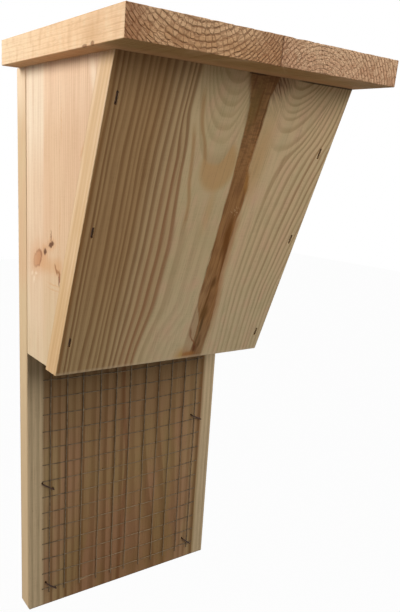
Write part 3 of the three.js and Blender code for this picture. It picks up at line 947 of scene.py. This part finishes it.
left_roof_wood = roof_finish(
    "left_roof_wood", (38, 29), [(0, 0), (26, 8), (33.5, 11), (44, 15), (48, 17), (120, 67)],
    ((226, 180, 134), (208, 160, 114), (138, 86, 48)), (300, 301), (300, 299), 71.0)
right_roof_wood = roof_finish(
    "right_roof_wood", (117, -30), [(0, 0), (120, 58)],
    ((232, 190, 150), (216, 168, 130), (150, 96, 58)), (98, 106), (148, 134), 83.0)

# %% [markdown]
# ## Easing the boards' edges
# A planed board never has knife-sharp edges. Each board starts as a merged copy of its solid, with
# the coplanar triangles joined into whole faces. The solids stand a hair apart, but real boards
# touch, so the faces that butt against another board are pushed up to it and stay sharp. All other
# long outer edges get a small bevel.

# %% Helpers for the boards
def merged_copy(name):
    shape = bmesh.new()
    shape.from_mesh(solids[name].data)
    bmesh.ops.remove_doubles(shape, verts=shape.verts, dist=0.002 * MM)
    flat = math.radians(0.5)
    bmesh.ops.dissolve_limit(shape, angle_limit=flat, verts=shape.verts, edges=shape.edges)
    return shape


def bevel(shape, edges, width, segments, **more):
    bmesh.ops.bevel(
        shape, geom=edges, offset=width * MM, offset_type="OFFSET", segments=segments, profile=0.5,
        affect="EDGES", material=-1, **more)


def hand_over(shape, name, material):
    """Makes the finished piece, which stands for the solid of the same name."""
    bmesh.ops.recalc_face_normals(shape, faces=shape.faces)
    mesh = bpy.data.meshes.new(name + "_shown")
    shape.to_mesh(mesh)
    shape.free()
    mesh.materials.append(material)
    piece = stand(name + "_shown", mesh)
    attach(piece, "root")
    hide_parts(name)
    return piece


def faces_towards(shape, direction):
    return [f for f in shape.faces if f.normal.dot(Vector(direction)) > 0.995]


def move(shape, faces, way):
    bmesh.ops.translate(shape, verts=list({v for f in faces for v in f.verts}), vec=way)


ARRIS_LENGTH, ARRIS_ANGLE = 12 * MM, math.radians(40)


def eased_board(name, material, ease, butts=(), start=None, finish=None):
    """Each butt is (which way the touching face looks, how far it is pushed, in mm)."""
    shape = merged_copy(name)
    if start:
        start(shape)
    shape.normal_update()
    sharp = set()
    for direction, push in butts:
        touching = faces_towards(shape, direction)
        sharp |= {e for f in touching for e in f.edges}
        move(shape, touching, Vector(push) * MM)
    long_edges = [e for e in shape.edges if e not in sharp and e.calc_length() > ARRIS_LENGTH]
    arrises = [e for e in long_edges if e.is_convex and e.calc_face_angle(0) > ARRIS_ANGLE]
    bevel(shape, arrises, ease, 3)
    if finish:
        finish(shape)
    piece = hand_over(shape, name, material)
    print(name, "eased on", len(arrises), "edges,", len(piece.data.polygons), "faces")


print("helpers ready for the boards")

# %% [markdown]
# The front board leans, so its up and outward directions are turned with it. The back board's lower
# corners are knocked round, and the roof boards are drawn together, to close their joint. The roof's
# front edge is sawn and ragged: after the bevel it is cut into short lengths, and the cuts along its
# top and bottom arris are moved inward by less than half a millimetre.

# %% The six boards
LEAN_SINE, LEAN_COSINE = math.sin(math.radians(FRONT_LEAN)), math.cos(math.radians(FRONT_LEAN))
ROOF_SIDE = (0, -math.sin(math.radians(ROOF_PITCH)), math.cos(math.radians(ROOF_PITCH)))
TO_ROOF, FRONT_TO_ROOF, TO_FRONT = 0.28, 0.75, 0.28
CUT, FRONT_ZONE, ARRIS_ZONE, ROUGHEST, HAIR = 2 * MM, 3 * MM, 1.2 * MM, 0.5 * MM, 0.01 * MM


def ragged_front(shape):
    """Cuts the roof's sawn front edge every 2 mm and roughens its two long arrises."""
    front = min(v.co.y for v in shape.verts)
    left, right = (pick(v.co.x for v in shape.verts) for pick in (min, max))
    for step in range(1, int((right - left) / CUT)):
        near = [f for f in shape.faces if f.calc_center_median().y < front + FRONT_ZONE]
        geometry = near + list({part for f in near for part in (*f.edges, *f.verts)})
        cut_at = (left + step * CUT, 0, 0)
        bmesh.ops.bisect_plane(shape, geom=geometry, plane_co=cut_at, plane_no=(1, 0, 0))
    heights = [v.co.z for v in shape.verts if v.co.y < front + FRONT_ZONE]
    middle = (min(heights) + max(heights)) / 2
    for v in shape.verts:
        if v.co.y < front + ARRIS_ZONE and left + MM < v.co.x < right - MM:
            rough = abs(noise.noise((v.co.x / (2.3 * MM), v.co.z / (9 * MM), 1))) * ROUGHEST
            v.co += Vector((0, 0.6 * rough, rough if v.co.z < middle else -rough))


def worn_foot(shape):
    """Rounds the back board's two lower corners, which get knocked, more than its other edges."""
    foot = [e for e in shape.edges if max(v.co.z for v in e.verts) < BACK.z + MM]
    bevel(shape, [e for e in foot if abs(e.verts[0].co.x - e.verts[1].co.x) < MM], 1.8, 4)


def closed_joint(towards):
    """Moves a roof board's inner edge over half the gap, so that the two boards all but touch."""
    def close(shape):
        shape.normal_update()
        inner_faces = faces_towards(shape, (towards, 0, 0))
        move(shape, inner_faces, (towards * (ROOF_GAP / 2 - HAIR), 0, 0))

    return close


under_roof = (ROOF_SIDE, (0, 0, TO_ROOF))
behind_front = ((0, -LEAN_COSINE, -LEAN_SINE), (0, -TO_FRONT, 0))
front_top = (ROOF_SIDE, (0, -FRONT_TO_ROOF * LEAN_SINE, FRONT_TO_ROOF * LEAN_COSINE))
front_inside = ((0, LEAN_COSINE, LEAN_SINE), (0, 0, 0))
eased_board("back_board", back_wood, 0.5, [((0, 0, 1), (0, 0, TO_ROOF))], start=worn_foot)
for side, wood in (("left", left_side_wood), ("right", right_side_wood)):
    eased_board("side_panel_" + side, wood, 0.6, [under_roof, behind_front])
eased_board("front_board", front_wood, 0.6, [front_top, front_inside])
for side, wood, towards in (("left", left_roof_wood, 1), ("right", right_roof_wood, -1)):
    start = closed_joint(towards)
    eased_board("roof_board_" + side, wood, 0.45, start=start, finish=ragged_front)
print("the roof's joint was", round(ROOF_GAP / MM, 2), "mm wide before it was closed")

# %% [markdown]
# ## The climbing net
# The net is welded wire mesh with half-inch openings. Its wire is galvanised: dull and patchy, with
# a few bright specks.

# %% The net's wire
net_wire, tree, shader = new_finish("galvanised_wire")
place, sideways, _, height = board_place(tree, (0, 0, 0))
patches = blobs(place, (2.5, 2.5, 2.5), 91.0, 3.0)
speckle = blobs(place, (0.4, 0.4, 0.4), 93.0)
# Painted light and shade: the wire is lighter in the middle and lower down, and darker near the top, under
# the box, and at the sides.
painted_light_middle_low = sideways.math("ABSOLUTE").rise(60, 30) * height.rise(-30, -110, 0, 0.8)
zinc = coat(
    (124, 106, 80),
    (patches.rise(0.35, 0.65), (92, 76, 56)),
    (painted_light_middle_low, (142, 118, 86)),
    (speckle.rise(0.6, 0.75) * 0.5, (160, 150, 134)))
roughness = patches.rise(0.3, 0.7, 0.45, 0.7)
dress(shader, {"Base Color": zinc, "Roughness": roughness, "Metallic": 0.4}, relief=speckle)
print("galvanised_wire has", len(tree.nodes), "nodes")

# %% [markdown]
# Cross wires lie against the board and upright wires are welded on in front of them, with a bead at
# each weld. The net was cut from a roll by hand, so the rows sag and the columns wander. Each wire
# starts as a thin closed cylinder with cuts along its length, and one shared function bends them
# all, so that they still meet at the welds. Above the entrance the cross wires' ends stick out less,
# because the side panels stand close. All sizes are in millimetres.

# %% The net
PITCH, COLUMNS, ROWS = 12.7, 11, 28
MIDDLE_COLUMN = COLUMNS // 2
LOWEST_ROW, ENTRANCE = -174.7, 9
WIRE_RADIUS, BEAD_RADIUS = 0.34, 0.52
CROSS_DEPTH, UPRIGHT_DEPTH = -14.38, -15.0
UPRIGHT_STUB, LANDING_STUB, CHAMBER_STUB = 3.5, 5.5, 2.4
UPRIGHT_CUTS, CROSS_CUTS = 110, 44
WANDER = [0.0, -0.3, -0.5, 1.2, 1.5, 0.7, 1.5, 0.7, -0.1, -0.3, -1.5]
HALF_NET, SAG, FOOT_TILT, FOOT_PULL, WAVE = 66, 1.4, 1.3, 1.2, 0.35


def bent(x, y, z):
    """Where a point of the flat, even net really lies. Low is 0 at the box and 1 at the foot."""
    column = min(max(x / PITCH + MIDDLE_COLUMN, 0), COLUMNS - 1)
    step = min(int(column), COLUMNS - 2)
    aside = WANDER[step] + (WANDER[step + 1] - WANDER[step]) * (column - step)
    low = min(max((-10 - z) / 160, 0), 1)
    aside -= FOOT_PULL * low * (1 - column / 7)
    drop = SAG * (1 - (x / HALF_NET) ** 2) + FOOT_TILT * low * (x + HALF_NET) / (2 * HALF_NET)
    wave = noise.noise((x / 19, z / 23, 5)) * WAVE
    lift = abs(noise.noise((x / 30, z / 30, 9))) * WAVE
    return x + aside + wave, y - lift, z - drop + noise.noise((x / 21, z / 17, 3)) * WAVE


def add_wire(shape, start, end, cuts):
    """A closed round wire from start to end, cut into short lengths."""
    start, end = Vector(start), Vector(end)
    run = end - start
    turn = run.to_track_quat("Z", "Y").to_matrix().to_4x4()
    made = bmesh.ops.create_cone(
        shape, cap_ends=True, segments=8, radius1=WIRE_RADIUS, radius2=WIRE_RADIUS, depth=run.length,
        matrix=Matrix.Translation((start + end) / 2) @ turn)
    edges = {e for v in made["verts"] for e in v.link_edges}
    sides = [e for e in edges if abs(e.calc_length() - run.length) < 0.01]
    bmesh.ops.subdivide_edges(shape, edges=sides, cuts=cuts)


net = bmesh.new()
columns = [(column - MIDDLE_COLUMN) * PITCH for column in range(COLUMNS)]
rows = [LOWEST_ROW + PITCH * row for row in range(ROWS)]
foot, head = rows[0] - UPRIGHT_STUB, rows[-1] + UPRIGHT_STUB
for x in columns:
    add_wire(net, (x, UPRIGHT_DEPTH, foot), (x, UPRIGHT_DEPTH, head), UPRIGHT_CUTS)
for z in rows:
    reach = MIDDLE_COLUMN * PITCH + (CHAMBER_STUB if z > ENTRANCE else LANDING_STUB)
    add_wire(net, (-reach, CROSS_DEPTH, z), (reach, CROSS_DEPTH, z), CROSS_CUTS)
flattened = Matrix.Diagonal((1, 0.9, 1, 1))
for x in columns:
    for z in rows:
        weld = Matrix.Translation((x, (CROSS_DEPTH + UPRIGHT_DEPTH) / 2 - 0.05, z))
        bmesh.ops.create_icosphere(net, subdivisions=1, radius=BEAD_RADIUS, matrix=weld @ flattened)
for vertex in net.verts:
    vertex.co = [c * MM for c in bent(*vertex.co)]
for face in net.faces:
    face.smooth = True
climbing_net = hand_over(net, "climbing_mesh", net_wire)
print("net of", COLUMNS, "by", ROWS, "wires,", len(climbing_net.data.polygons), "faces")

# %% [markdown]
# ## Staples
# All joints are stapled. A staple is bent from flat wire, so its corners are round: each one starts
# as a merged copy of its solid and gets a fine bevel. The narrow ones were driven a little below the
# surface of the boards, and the wide ones lie over the net's wires.

# %% Staples with rounded edges
staple_wire, tree, shader = new_finish("staple_wire")
place, *_ = board_place(tree, (0, 0, 0))
patches = blobs(place, (1.5, 1.5, 1.5), 95.0, 3.0)
steel = blend(patches.rise(0.35, 0.65), (74, 42, 20), (42, 22, 10))
roughness = patches.rise(0.3, 0.7, 0.35, 0.6)
dress(shader, {"Base Color": steel, "Roughness": roughness, "Metallic": 0.35})

STAPLE_BEVEL, SHORTEST_EDGE = 0.14, 0.5 * MM
staples = sorted(name for name in solids if "staple" in name)
for name in staples:
    shape = merged_copy(name)
    corners = [e for e in shape.edges if e.is_convex and e.calc_length() > SHORTEST_EDGE]
    bevel(shape, corners, STAPLE_BEVEL, 2, clamp_overlap=True)
    hand_over(shape, name, staple_wire)
print(len(staples), "staples")
